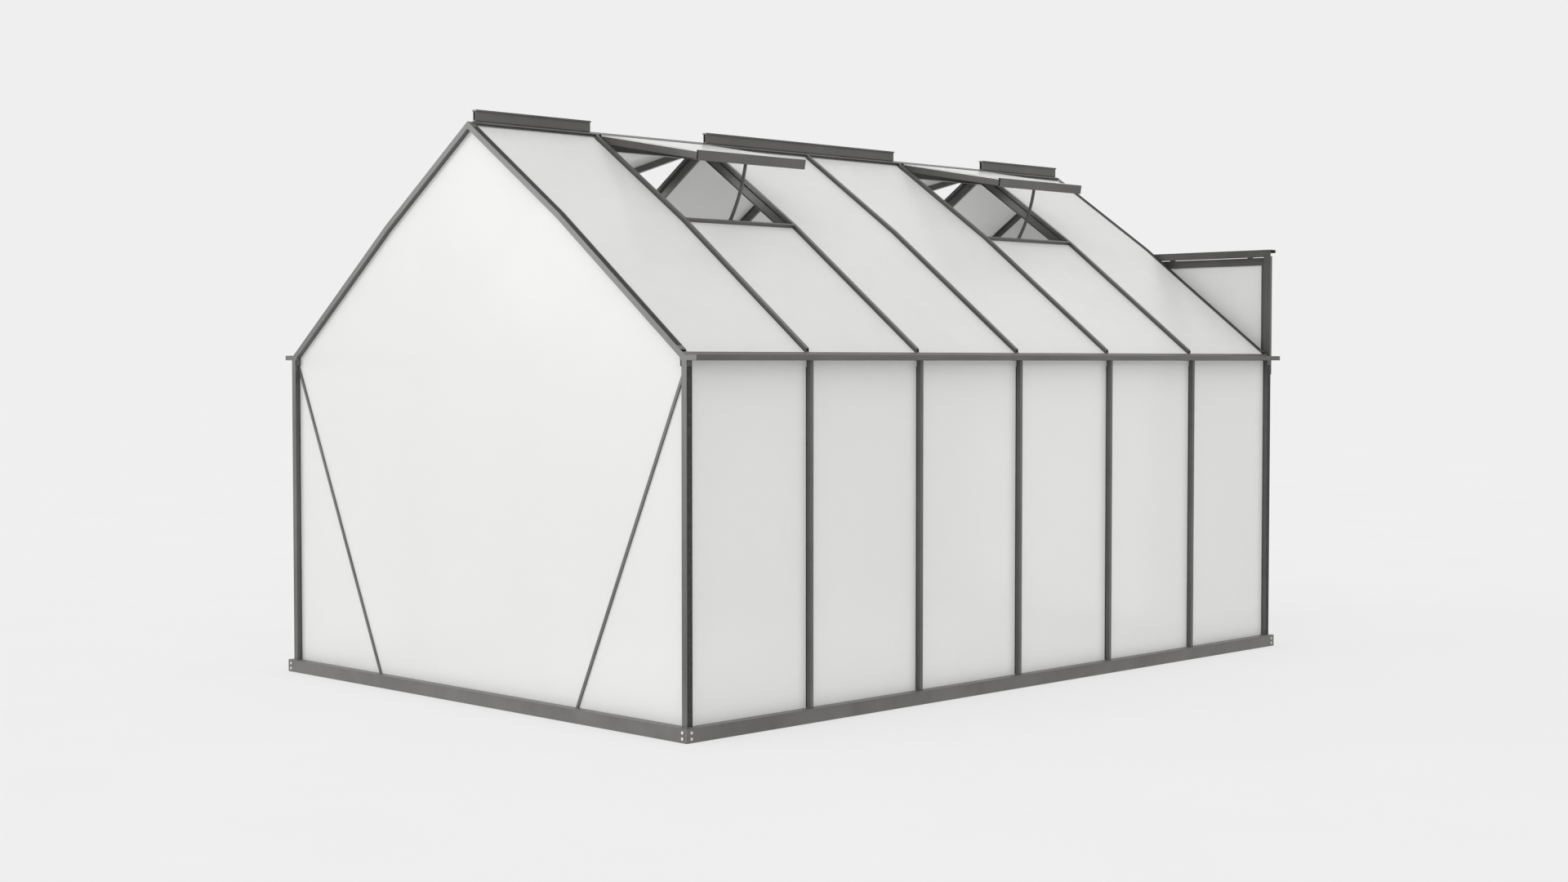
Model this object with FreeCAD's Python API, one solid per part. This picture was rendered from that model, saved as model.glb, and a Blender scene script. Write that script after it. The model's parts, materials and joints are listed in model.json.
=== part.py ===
import FreeCAD, Part
import math
import os

# Walk-in polycarbonate greenhouse: six bays long, four bays wide, with four ridge vents
# and a pair of sliding doors.  X is the width, Y the length (doors at +Y), Z is up.
# Everything is drawn about the middle of the frame and shifted along Y at the end,
# so that the origin is the bottom centre of the whole object.

# ---------------------------------------------------------------- overall sizes, mm
bay = 620.0                 # pitch of the wall posts and glazing bars
bays_long = 6
end_margin = 14.0           # from the last bay line to the gable plane
width = 2540.0              # over the outer faces of the corner posts
eave_height = 1369.0        # roof line at the outer face of the posts
lower_pitch = 37.3          # degrees
upper_pitch = 34.4          # degrees
kink_share = 0.442          # where the roof changes pitch, as a share of the half width

# ---------------------------------------------------------------- profiles, mm
wall = 2.0                  # wall of the aluminium extrusions
recess = 21.0               # wall panels behind the outer faces of the posts
sheet = 6.0                 # thickness of the hollow panels
slip = 1.0                  # gap between a panel and the bar beside it
base_height = 52.0
base_outset = 18.0          # base rail beyond the frame
base_wall = 2.5
base_lip = 28.0             # height of the upright behind the wall panel
bar_width = 16.0            # outer box of the wall posts and glazing bars
bar_web = 3.0
bar_seat = 19.0             # width of the ledge that carries the panels
bar_depth = 45.0            # roof bar below the roof line
bar_foot = 12.0
post_depth = 55.0           # wall post, outer face to foot
cap_rise = 12.0             # roof bar above the roof line
panel_drop = 2.0            # roof panel below the roof line
gable_face = 23.0           # gable rafter, across its face
fin = 14.0                  # panel fins of the corner posts and gable rafters

# ---------------------------------------------------------------- eave, ridge, mm
gutter_reach = 51.0         # gutter lip beyond the posts
gutter_lip = 20.0
gutter_drop = 12.0          # gutter floor below the roof line at the posts
eave_drop = 22.0            # eave web below the gutter floor
eave_gap = 6.0              # inner wall of the eave behind the fins
jaw_depth = 16.0            # overlap of the eave's upper jaw on the roof panel
panel_overhang = 8.0        # the upper jaw's end, inside the posts' outer faces
ridge_web = 5.0
ridge_depth = 67.0          # ridge web below the apex of the roof line
ridge_rise = 5.0            # ridge web above the apex of the roof line
ridge_foot = 28.0
ridge_seat = 20.0           # half width of the ledge under the top ends of the roof panels
mouth_margin = 20.0         # degrees the hinge groove opens beyond the vent's travel
crest_web = 16.0
crest_flange = 28.0
crest_height = 43.0
crest_inset = 15.0          # crest ends, inside the bay lines beside a vent

# ---------------------------------------------------------------- vents, mm
hinge_x = 24.0              # hinge axis from the middle of the ridge
hinge_rise = 6.0            # above the roof line, square to it
bead = 3.5                  # hinge bead of the vent
bead_gap = 0.4
hinge_wall = 2.0
vent_open = 24.4            # degrees open at rest
vent_side_gap = 11.0        # bay line to the vent's side rail
rail_width = 15.0
rail_top = 4.0              # side rails, height above the roof line when shut
rail_bottom = 24.0          # and depth below it
front_rail = 13.0
front_rail_height = 40.0
top_rail_start = 36.0
top_rail = 14.0
bar_cap_start = 42.0        # roof bars' outer boxes start, along the slope from the apex
stay_thickness = 6.0
stay_width = 14.0
stay_pivot_back = 42.0      # pivot of the stay behind the front of the vent
stay_pivot_h = -8.0
pivot_pin = 3.0
running_gap = 0.05
cheek_gap = 0.5
cheek = 2.0
catch_back = 8.0            # catch peg behind the inner edge of the sill's floor
catch_h = -26.0
stay_tail = 0.08            # stay beyond the catch, as a share of its length to it
stay_hole = 2.6
stay_hole_shares = (0.52, 0.68, 0.84, 1.0)     # along the stay, the last one on the catch
peg = 2.0
peg_gap = 1.0

# ---------------------------------------------------------------- vent sills, mm
sill_past_kink = 5.5        # front face beyond the bend of the roof, along the slope
sill_nose = 9.0             # flat top behind the front face
sill_top = 13.0             # above the roof line
sill_depth = 32.0           # front face to the upright behind the sloping back
sill_shoulder = 2.0         # top of that upright below the roof line
sill_floor = 31.0           # underside below the roof line
sill_floor_depth = 24.0     # floor behind that upright
vent_front_gap = 4.0        # shut vent to the sill's upright
sill_shelf = 20.0           # ledge under the lower panel
sill_lift = 0.3             # front face above the lower panel
catch_half = 10.0           # the catch plate about its peg
catch_gap = 3.0
catch_wall = 3.0
sill_side_gap = 9.5         # bay line to the sill's end
panel_tuck = 13.5           # lower panel's top edge above the bend of the roof, level

# ---------------------------------------------------------------- door, mm
leaf_overlap = 25.0         # each leaf wider than half the doorway
header_drop = 8.5           # header below the rafters at the jambs
leaf_thickness = 18.0
leaf_plane = 23.0           # inner face of the leaves beyond the gable plane
leaf_bottom = 8.0
leaf_top_gap = 2.0          # leaf below the track
stile = 27.0
leaf_top_rail = 36.0
leaf_mid_rail = 36.0
leaf_mid_height = 880.0
leaf_bottom_rail = 60.0
track_inset = 6.0           # track's ends inside the posts' outer faces
track_rise = 5.0            # track above the header
track_height = 34.0
track_wall = 3.0
track_ledge = 14.0
track_depth = 45.0
track_lip = 15.0
wheel = 10.0
wheel_width = 10.0
axle = 3.0
wheel_gap = 0.3
hanger_inset = 90.0
hanger_width = 30.0
strut_width = 36.0
strut_depth = 16.0
strut_overlap = 79.0        # strut's foot below the eave
guide_height = 14.0
guide_wall = 3.0
guide_reach = 30.0
door_gap = 3.0              # open leaf to the edge of the doorway
handle_proud = 7.0
handle_length = 160.0
handle_height = 930.0
handle_width = 12.0

# ---------------------------------------------------------------- small parts, mm
brace_width = 12.0
brace_depth = 6.0
brace_drop = 44.0           # brace's top below the eave
brace_share = 0.504         # brace's foot, as a share of the half width
bolt = 3.0
bolt_hole = 3.3
bolt_head = 6.5
bolt_head_height = 3.0
nut = 5.0
nut_height = 4.0
bolt_low = 15.0
bolt_high = 37.0
bolt_from_corner = 22.0
bracket_leg = 50.0
bracket_wall = 3.0
bracket_gap = 4.0
anchor_hole = 5.0
anchor_pitch_y = 3400.0
cap_wall = 2.0

# ---------------------------------------------------------------- worked out
half_width = width / 2
half_length = bays_long * bay / 2 + end_margin
base_x = half_width + base_outset
base_y = half_length + base_outset
glass_x = half_width - recess           # outer face of the long wall panels
glass_y = half_length - recess          # outer face of the gable panels
inner_x = glass_x - sheet
inner_y = glass_y - sheet
corner_box = recess + sheet             # square corner posts and door jambs
gable_flange = corner_box + slip + wall     # gable rafter, along the roof
eave_x = inner_x - slip - wall - eave_gap
gable_edge = inner_x - wall - 2 * slip  # side edge of the gable panels
lower_tan = math.tan(math.radians(lower_pitch))
upper_tan = math.tan(math.radians(upper_pitch))
upper_sin = math.sin(math.radians(upper_pitch))
upper_cos = math.cos(math.radians(upper_pitch))
lower_cos = math.cos(math.radians(lower_pitch))
kink_offset = half_width * kink_share
kink_height = eave_height + (half_width - kink_offset) * lower_tan
apex_height = kink_height + kink_offset * upper_tan
gutter_floor_height = eave_height - gutter_drop
hinge_height = apex_height - hinge_x * upper_tan + hinge_rise / upper_cos
sill_front = kink_offset / upper_cos + sill_past_kink
sill_back = sill_front - sill_depth
sill_inner = sill_back - sill_floor_depth
vent_length = sill_back - vent_front_gap
stay_pivot_s = vent_length - stay_pivot_back
catch_s = sill_inner - catch_back
bay_lines = [bay * (k - bays_long / 2) for k in range(1, bays_long)]
vent_bays = [-1.5 * bay, 1.5 * bay]     # centres of the bays with a vent
panel_low = panel_drop + sheet
seat_low = panel_low + wall
gutter_x = half_width + gutter_reach
track_half = half_width - track_inset
doorway = track_half - strut_width - door_gap - leaf_overlap
leaf_width = doorway / 2 + leaf_overlap
door_inner = doorway / 2 + door_gap
leaf_y = half_length + leaf_plane
guide_y = base_y + guide_reach
shift_y = ((base_y + bolt_head_height) - guide_y) / 2


# ---------------------------------------------------------------- drawing helpers
def vec(x, y, z):
    return FreeCAD.Vector(x, y, z)


def box(x0, x1, y0, y1, z0, z1):
    """Box between two corners, in any order."""
    x_low, x_high = sorted((x0, x1))
    y_low, y_high = sorted((y0, y1))
    z_low, z_high = sorted((z0, z1))
    return Part.makeBox(x_high - x_low, y_high - y_low, z_high - z_low, vec(x_low, y_low, z_low))


def prism_y(points, y0, y1):
    """Outline in X and Z carried from y0 to y1."""
    corners = [vec(x, y0, z) for x, z in points]
    face = Part.Face(Part.makePolygon(corners + corners[:1]))
    return face.extrude(vec(0, y1 - y0, 0))


def prism_x(points, x0, x1):
    """Outline in Y and Z carried from x0 to x1."""
    corners = [vec(x0, y, z) for y, z in points]
    face = Part.Face(Part.makePolygon(corners + corners[:1]))
    return face.extrude(vec(x1 - x0, 0, 0))


def prism_z(points, z0, z1):
    """Outline in X and Y carried from z0 to z1."""
    corners = [vec(x, y, z0) for x, y in points]
    face = Part.Face(Part.makePolygon(corners + corners[:1]))
    return face.extrude(vec(0, 0, z1 - z0))


def rod(radius, start, end):
    axis = end.sub(start)
    return Part.makeCylinder(radius, axis.Length, start, axis)


def join(*shapes):
    solid = shapes[0].multiFuse(list(shapes[1:])).removeSplitter()
    return solid


def mirror_x(shape):
    return shape.mirror(vec(0, 0, 0), vec(1, 0, 0))


def mirror_y(shape):
    return shape.mirror(vec(0, 0, 0), vec(0, 1, 0))


def group(shapes):
    return Part.makeCompound(shapes)


def roof_height(x, rise):
    """Height of the line that lies rise above the roof line, at half width x."""
    upper = apex_height + rise / upper_cos - x * upper_tan
    lower = kink_height + rise / lower_cos - (x - kink_offset) * lower_tan
    return min(upper, lower)


def kink_at(rise):
    """Half width at which the line that lies rise above the roof line bends."""
    gain = kink_height - apex_height + kink_offset * lower_tan
    return (gain + rise / lower_cos - rise / upper_cos) / (lower_tan - upper_tan)


def roof_strip(x0, x1, low, high, y0, y1):
    """Strip that follows the roof from half width x0 to x1, between two rises."""
    ends = [(x0, roof_height(x0, high)), (x1, roof_height(x1, high))]
    under = [(x1, roof_height(x1, low)), (x0, roof_height(x0, low))]
    if x0 < kink_at(high) < x1:
        ends.insert(1, (kink_at(high), roof_height(kink_at(high), high)))
    if x0 < kink_at(low) < x1:
        under.insert(1, (kink_at(low), roof_height(kink_at(low), low)))
    return prism_y(ends + under, y0, y1)


def slope_point(s, h):
    """Point s down the upper slope from the apex and h above the roof line, as X, Z."""
    return (s * upper_cos + h * upper_sin, apex_height - s * upper_sin + h * upper_cos)


def slope_plate(points, y0, y1):
    return prism_y([slope_point(s, h) for s, h in points], y0, y1)


def slope_box(s0, s1, h0, h1, y0, y1):
    return slope_plate([(s0, h0), (s1, h0), (s1, h1), (s0, h1)], y0, y1)


# ---------------------------------------------------------------- base frame
def corner_bolt_places():
    """Point on the outer face and outward direction of each bolt at the +X, -Y corner."""
    places = []
    for height in (bolt_low, bolt_high):
        places.append((vec(base_x, -(base_y - bolt_from_corner), height), vec(1, 0, 0)))
        places.append((vec(base_x - bolt_from_corner, -base_y, height), vec(0, -1, 0)))
    return places


def four_corners(shape):
    right = [shape, mirror_y(shape)]
    return right + [mirror_x(each) for each in right]


def bolt_holes(radius):
    depth = base_wall + bracket_wall
    tools = []
    for point, out in corner_bolt_places():
        tools += four_corners(rod(radius, point + out, point - out * (depth + 1)))
    return tools


def anchor_holes():
    x = (glass_x + base_x - base_wall) / 2
    tool = rod(anchor_hole, vec(x, -anchor_pitch_y / 2, -1), vec(x, -anchor_pitch_y / 2, base_wall + 1))
    return four_corners(tool)


def base_section(outer, lip_face, top_face):
    """C-section with an upright lip behind the panel; distances from the middle."""
    lip_out = lip_face - slip
    return [(lip_out - wall, 0), (outer, 0), (outer, base_height), (top_face, base_height),
            (top_face, base_height - base_wall), (outer - base_wall, base_height - base_wall),
            (outer - base_wall, base_wall), (lip_out, base_wall), (lip_out, base_lip),
            (lip_out - wall, base_lip)]


def base_rails():
    depth = base_x - (inner_x - slip - wall)
    side = prism_y(base_section(base_x, inner_x, glass_x), -base_y, base_y)
    side_mitre = [(base_x, -base_y), (base_x, base_y),
                  (base_x - depth, base_y - depth), (base_x - depth, -base_y + depth)]
    side = side.common(prism_z(side_mitre, -1, base_height + 1))
    end = prism_x(base_section(base_y, inner_y, glass_y), -base_x, base_x)
    end_mitre = [(-base_x, base_y), (base_x, base_y),
                 (base_x - depth, base_y - depth), (-base_x + depth, base_y - depth)]
    end = end.common(prism_z(end_mitre, -1, base_height + 1))
    floor = box(-track_half, track_half, base_y, guide_y, 0, guide_wall)
    lip = box(-track_half, track_half, guide_y - guide_wall, guide_y, 0, guide_height)
    holes = bolt_holes(bolt_hole)
    right = side.cut(holes + anchor_holes())
    return {
        "base_rail_right": right,
        "base_rail_left": mirror_x(right),
        "base_rail_front": mirror_y(end).cut(holes),
        "base_rail_back": join(end, floor, lip).cut(holes),
    }


def corner_brackets():
    x = base_x - base_wall
    y = base_y - base_wall
    low = base_wall + bracket_gap
    high = base_height - base_wall - bracket_gap
    along = box(x - bracket_wall, x, -y, -y + bracket_leg, low, high)
    across = box(x - bracket_leg, x, -y, -y + bracket_wall, low, high)
    return group(four_corners(join(along, across).cut(bolt_holes(bolt_hole))))


def base_bolts():
    bolts = []
    depth = base_wall + bracket_wall
    for point, out in corner_bolt_places():
        inside = point - out * depth
        shank = rod(bolt, point, inside - out * nut_height)
        head = rod(bolt_head, point, point + out * bolt_head_height)
        head = head.makeFillet(bolt_head_height * 0.6, [edge for edge in head.Edges
                               if edge.CenterOfMass.sub(point + out * bolt_head_height).Length < 0.1
                               and edge.Length > bolt_head])
        collar = rod(nut, inside, inside - out * nut_height)
        bolts += four_corners(join(shank, head, collar))
    return group(bolts)


# ---------------------------------------------------------------- posts
def corner_post():
    """Hollow square post at the +X, -Y corner with a fin behind each panel."""
    x = half_width - corner_box
    y = -(half_length - corner_box)
    outer = box(x, half_width, -half_length, y, base_height, gutter_floor_height)
    hollow = box(x + wall, half_width - wall, -half_length + wall, y - wall,
                 base_height, gutter_floor_height)
    tube = outer.cut(hollow)
    fin_top = gutter_floor_height - eave_drop
    fin_x = inner_x - slip
    fin_y = -(inner_y - slip)
    wall_fin = box(fin_x - wall, fin_x, y - wall, y + fin, base_height, fin_top)
    neck = box(fin_x - wall, x, y - wall, y, base_height, fin_top)
    gable_fin = box(fin_x - wall - fin, fin_x, fin_y, fin_y + wall, base_height, fin_top)
    return join(tube, neck, wall_fin, gable_fin)


def wall_post(y):
    """Glazing post on the +X wall at a bay line."""
    half = bar_width / 2
    foot_x = half_width - post_depth
    low_top = gutter_floor_height - eave_drop
    outer = box(glass_x, half_width, y - half, y + half, base_height, gutter_floor_height)
    hollow = box(glass_x + wall, half_width - wall, y - half + wall, y + half - wall,
                 base_height, gutter_floor_height)
    web = box(foot_x, glass_x, y - bar_web / 2, y + bar_web / 2, base_height, low_top)
    seat_x = inner_x - slip
    seat = box(seat_x - wall, seat_x, y - bar_seat / 2, y + bar_seat / 2, base_height, low_top)
    foot = box(foot_x - wall, foot_x, y - bar_foot / 2, y + bar_foot / 2, base_height, low_top)
    return join(outer.cut(hollow), web, seat, foot)


# ---------------------------------------------------------------- roof bars
def roof_bar(y):
    """Glazing bar on the +X slope at a bay line, bent where the pitch changes."""
    half = bar_width / 2
    cap_start = slope_point(bar_cap_start, 0)[0]
    cap_end = half_width - panel_overhang - jaw_depth
    outer = roof_strip(cap_start, cap_end, -panel_drop, cap_rise, y - half, y + half)
    hollow = roof_strip(cap_start - 1, cap_end + 1, -panel_drop + wall, cap_rise - wall,
                        y - half + wall, y + half - wall)
    web_start = ridge_web / 2
    web = roof_strip(cap_start, eave_x, -bar_depth, -panel_drop, y - bar_web / 2, y + bar_web / 2)
    web_top = roof_strip(web_start, cap_start, -bar_depth, -seat_low,
                         y - bar_web / 2, y + bar_web / 2)
    seat = roof_strip(ridge_seat + slip, eave_x, -seat_low, -panel_low,
                      y - bar_seat / 2, y + bar_seat / 2)
    foot = roof_strip(web_start + ridge_foot / 2, eave_x, -bar_depth - wall, -bar_depth,
                      y - bar_foot / 2, y + bar_foot / 2)
    return join(outer.cut(hollow), web, web_top, seat, foot)


def gable_rafter():
    """Hollow rafter on the +X half of the -Y gable, with fins for both panels."""
    y0 = -half_length
    y1 = y0 + gable_flange
    outer = roof_strip(0, eave_x, -gable_face, 0, y0, y1)
    hollow = roof_strip(0, eave_x, -gable_face + wall, -wall, y0 + wall, y1 - wall)
    seat = roof_strip(ridge_seat + slip, eave_x, -seat_low, -panel_low, y1 - wall, y1 + fin)
    fin_y = -(inner_y - slip)
    drop = roof_strip(0, eave_x, -gable_face - fin, -gable_face, fin_y, fin_y + wall)
    return join(outer.cut(hollow), seat, drop)


# ---------------------------------------------------------------- eave and ridge
def upright(x, z, y0, y1):
    """Thin wall from height z up to the underside of the roof panels."""
    top_near = (x, roof_height(x, -panel_low))
    top_far = (x + wall, roof_height(x + wall, -panel_low))
    return prism_y([(x, z), (x + wall, z), top_far, top_near], y0, y1)


def eave_gutter():
    """One extrusion on the +X side: gutter, roof panel slot and wall panel seat."""
    y0 = -half_length + cap_wall
    y1 = half_length - cap_wall
    z = gutter_floor_height
    jaw_end = half_width - panel_overhang
    floor = box(eave_x, gutter_x, y0, y1, z, z + wall)
    lip = box(gutter_x - wall, gutter_x, y0, y1, z, z + gutter_lip)
    web = upright(eave_x, z - eave_drop, y0, y1)
    seat_x = inner_x - slip
    seat = box(seat_x - wall, seat_x, y0 + corner_box + fin, y1 - corner_box - fin, z - eave_drop, z)
    lower_jaw = roof_strip(eave_x, jaw_end, -seat_low, -panel_low, y0, y1)
    upper_jaw = roof_strip(jaw_end - jaw_depth, jaw_end, -panel_drop, 0, y0, y1)
    jaw_back = roof_strip(jaw_end - wall, jaw_end, -seat_low, 0, y0, y1)
    strut = upright(glass_x, z, y0, y1)
    return join(floor, lip, web, seat, lower_jaw, upper_jaw, jaw_back, strut)


def gutter_end_cap():
    """Cover plate on the -Y end of the +X gutter."""
    z = gutter_floor_height
    jaw_end = half_width - panel_overhang
    jaw_start = jaw_end - jaw_depth
    outline = [(eave_x, z), (gutter_x, z), (gutter_x, z + gutter_lip),
               (jaw_end, roof_height(jaw_end, 0)), (jaw_start, roof_height(jaw_start, 0)),
               (eave_x, roof_height(eave_x, 0))]
    return prism_y(outline, -half_length, -half_length + cap_wall)


def ridge_beam():
    y0 = -half_length + gable_flange
    y1 = -y0
    bottom = apex_height - ridge_depth
    top = apex_height + ridge_rise
    ring_outer = bead + bead_gap + hinge_wall
    parts = [box(-ridge_web / 2, ridge_web / 2, y0, y1, bottom, top),
             box(-ridge_foot / 2, ridge_foot / 2, y0, y1, bottom - wall, bottom)]
    arm_low = hinge_height + ring_outer - 3.0
    arm = prism_y([(0, top - wall - 1), (hinge_x, arm_low), (hinge_x, arm_low + wall + 1), (0, top)], y0, y1)
    ring = rod(ring_outer, vec(hinge_x, y0, hinge_height), vec(hinge_x, y1, hinge_height))
    groove = rod(bead + bead_gap, vec(hinge_x, y0 - 1, hinge_height), vec(hinge_x, y1 + 1, hinge_height))
    mouth_far = hinge_x + 2 * ring_outer
    mouth_up = math.radians(vent_open - upper_pitch + mouth_margin)
    mouth_down = math.radians(upper_pitch + mouth_margin)
    rise = math.tan(mouth_up) * 2 * ring_outer
    fall = math.tan(mouth_down) * 2 * ring_outer
    mouth = prism_y([(hinge_x, hinge_height), (mouth_far, hinge_height - fall),
                     (mouth_far, hinge_height + rise)], y0 - 1, y1 + 1)
    seat = roof_strip(ridge_web / 2, ridge_seat, -seat_low, -panel_low, y0, y1)
    side = join(arm, ring).cut([groove, mouth])
    parts += [side, mirror_x(side), seat, mirror_x(seat)]
    return join(*parts)


def ridge_crests():
    """Hollow T-shaped crests over the bays without a vent."""
    base = apex_height + ridge_rise
    top = base + crest_height
    flange = 6.0
    end = half_length - gable_flange - 4.0
    near = 2 * bay + crest_inset
    far = bay - crest_inset
    crests = []
    for y0, y1 in ((-end, -near), (-far, far), (near, end)):
        body = box(-crest_web / 2, crest_web / 2, y0, y1, base, top - flange)
        head = box(-crest_flange / 2, crest_flange / 2, y0, y1, top - flange, top)
        hollow = box(-crest_web / 2 + wall, crest_web / 2 - wall, y0, y1, base + wall, top - flange)
        crests.append(join(body.cut(hollow), head))
    return group(crests)


# ---------------------------------------------------------------- panels
def bay_edges():
    """Start and end of each bay's panel along Y."""
    first = -half_length + gable_flange + slip
    edges = [first] + bay_lines + [-first]
    gap = bar_web / 2 + slip
    spans = []
    for k in range(bays_long):
        start = edges[k] if k == 0 else edges[k] + gap
        end = edges[k + 1] if k == bays_long - 1 else edges[k + 1] - gap
        spans.append((start, end))
    return spans


def wall_panels():
    panels = []
    corner = half_length - corner_box - slip
    for y0, y1 in bay_edges():
        start = max(y0, -corner)
        end = min(y1, corner)
        panels.append(box(inner_x, glass_x, start, end, base_wall, gutter_floor_height - slip))
    return panels


def roof_panels():
    panels = []
    end = half_width - panel_overhang - wall - slip
    for y0, y1 in bay_edges():
        middle = (y0 + y1) / 2
        vented = any(abs(middle - y) < bay / 4 for y in vent_bays)
        start = kink_offset - panel_tuck if vented else ridge_web / 2 + slip
        panels.append(roof_strip(start, end, -panel_low, -panel_drop, y0, y1))
    return panels


def gable_outline(x0, z0, x1):
    """Half of a gable panel from half width x0 to x1, as X, Z points."""
    drop = -gable_face - slip
    corner_top = gutter_floor_height - eave_drop - slip
    points = [(x0, z0), (x1, z0)]
    side = x1
    if x1 > eave_x:
        side = eave_x - slip
        points += [(x1, corner_top), (side, corner_top)]
    points.append((side, roof_height(side, drop)))
    if x0 < kink_at(drop) < side:
        points.append((kink_at(drop), roof_height(kink_at(drop), drop)))
    points.append((x0, roof_height(x0, drop)))
    return points


def gable_panel_front():
    right = gable_outline(0, base_wall, gable_edge)
    left = [(-x, z) for x, z in reversed(right)]
    outline = right[1:] + left[1:-1]
    return prism_y(outline, -glass_y, -inner_y)


def gable_panels_back():
    start = doorway / 2 + corner_box + slip
    side = prism_y(gable_outline(start, base_wall, gable_edge), inner_y, glass_y)
    top_start = header_bottom() + corner_box + slip
    right = gable_outline(0, top_start, doorway / 2 - slip)
    left = [(-x, z) for x, z in reversed(right)]
    top = prism_y(right[1:] + left[1:-1], inner_y, glass_y)
    return group([side, mirror_x(side), top])


# ---------------------------------------------------------------- gable details
def gable_brace():
    """Flat brace of the -Y gable, from the corner post's top to the base."""
    post_x = half_width - corner_box
    brace_top = eave_height - brace_drop
    brace_foot = half_width * brace_share
    rise = brace_top - base_height
    run = post_x - brace_foot
    half = brace_width / 2 * math.hypot(rise, run) / rise
    outline = [(brace_foot - half, base_height), (brace_foot + half, base_height),
               (post_x, brace_top - half * rise / run), (post_x, brace_top + half * rise / run)]
    back = -glass_y
    return prism_y(outline, back - brace_depth, back)


def door_jamb():
    """Hollow jamb on the +X side of the doorway, up to the gable rafter."""
    x0 = doorway / 2
    x1 = x0 + corner_box
    y0 = half_length - corner_box

    def tube(inset, floor):
        a, b = x0 + inset, x1 - inset
        return prism_y([(a, floor), (b, floor), (b, roof_height(b, -gable_face)),
                        (a, roof_height(a, -gable_face))], y0 + inset, half_length - inset)

    return tube(0, base_height).cut(tube(wall, base_height))


def header_bottom():
    """Underside of the header, which clears the rafters at the jambs."""
    return roof_height(doorway / 2, -gable_face) - header_drop - corner_box


def track_bottom():
    return header_bottom() + corner_box + track_rise


def door_header():
    """Hollow bar over the doorway, between the jambs."""
    x = doorway / 2
    floor = header_bottom()
    outer = box(-x, x, half_length - corner_box, half_length, floor, floor + corner_box)
    hollow = box(-x, x, half_length - corner_box + wall, half_length - wall,
                 floor + wall, floor + corner_box - wall)
    return outer.cut(hollow)


def door_track():
    y = half_length
    low = track_bottom()
    top = low + track_height
    outline = [(y, low), (y + track_wall + track_ledge, low),
               (y + track_wall + track_ledge, low + track_wall),
               (y + track_wall, low + track_wall), (y + track_wall, top - track_wall),
               (y + track_depth - track_wall, top - track_wall),
               (y + track_depth - track_wall, top - track_lip),
               (y + track_depth, top - track_lip), (y + track_depth, top), (y, top)]
    return prism_x(outline, -track_half, track_half)


def track_strut():
    """Tube that carries the end of the track, bolted to the corner post's face."""
    x0 = track_half - strut_width
    foot = eave_height - strut_overlap
    top = track_bottom()
    outer = box(x0, track_half, half_length, half_length + strut_depth, foot, top)
    hollow = box(x0 + wall, track_half - wall, half_length + wall, half_length + strut_depth - wall,
                 foot, top)
    return outer.cut(hollow)


# ---------------------------------------------------------------- door leaf, drawn open at +X
def tube_between(x0, x1, z0, z1):
    y0 = leaf_y
    y1 = leaf_y + leaf_thickness
    outer = box(x0, x1, y0, y1, z0, z1)
    if x1 - x0 > z1 - z0:
        hollow = box(x0, x1, y0 + wall, y1 - wall, z0 + wall, z1 - wall)
    else:
        hollow = box(x0 + wall, x1 - wall, y0 + wall, y1 - wall, z0, z1)
    return outer.cut(hollow)


def leaf_top():
    return track_bottom() - leaf_top_gap


def wheel_centres():
    z = track_bottom() + track_wall + wheel + wheel_gap
    y = half_length + track_wall + 2.0
    return [vec(door_inner + hanger_inset, y, z),
            vec(door_inner + leaf_width - hanger_inset, y, z)]


def leaf_frame():
    x0 = door_inner
    x1 = door_inner + leaf_width
    a = x0 + stile
    b = x1 - stile
    top = leaf_top()
    pieces = [tube_between(x0, a, leaf_bottom, top),
              tube_between(b, x1, leaf_bottom, top),
              tube_between(a, b, leaf_bottom, leaf_bottom + leaf_bottom_rail),
              tube_between(a, b, leaf_mid_height, leaf_mid_height + leaf_mid_rail),
              tube_between(a, b, top - leaf_top_rail, top)]
    for centre in wheel_centres():
        half = hanger_width / 2
        plate = box(centre.x - half, centre.x + half, leaf_y, leaf_y + track_wall,
                    top, centre.z + axle * 2)
        pin = rod(axle, centre, vec(centre.x, leaf_y + track_wall, centre.z))
        pieces.append(join(plate, pin))
    grip_x = x0 + (stile - handle_width) / 2
    front = leaf_y + leaf_thickness
    grip = box(grip_x, grip_x + handle_width, front, front + handle_proud,
               handle_height, handle_height + handle_length)
    finger = box(grip_x - 1, grip_x + handle_width + 1, front, front + handle_proud - wall,
                 handle_height + handle_width, handle_height + handle_length - handle_width)
    pieces.append(grip.cut(finger))
    return group(pieces)


def leaf_panels():
    a = door_inner + stile
    b = door_inner + leaf_width - stile
    y0 = leaf_y + (leaf_thickness - sheet) / 2
    top = leaf_top()
    low = box(a, b, y0, y0 + sheet, leaf_bottom + leaf_bottom_rail, leaf_mid_height)
    high = box(a, b, y0, y0 + sheet, leaf_mid_height + leaf_mid_rail, top - leaf_top_rail)
    return group([low, high])


def door_wheel(centre):
    start = vec(centre.x, centre.y + running_gap, centre.z)
    end = vec(centre.x, centre.y + wheel_width, centre.z)
    bore_start = vec(centre.x, centre.y - 1, centre.z)
    bore_end = vec(centre.x, centre.y + wheel_width + 1, centre.z)
    return rod(wheel, start, end).cut(rod(axle + running_gap, bore_start, bore_end))


# ---------------------------------------------------------------- vents, drawn shut at +X
def open_vent(shape):
    """Turn a shut +X vent to its rest position about the ridge hinge."""
    turned = shape.copy()
    turned.rotate(vec(hinge_x, 0, hinge_height), vec(0, 1, 0), -vent_open)
    return turned


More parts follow.
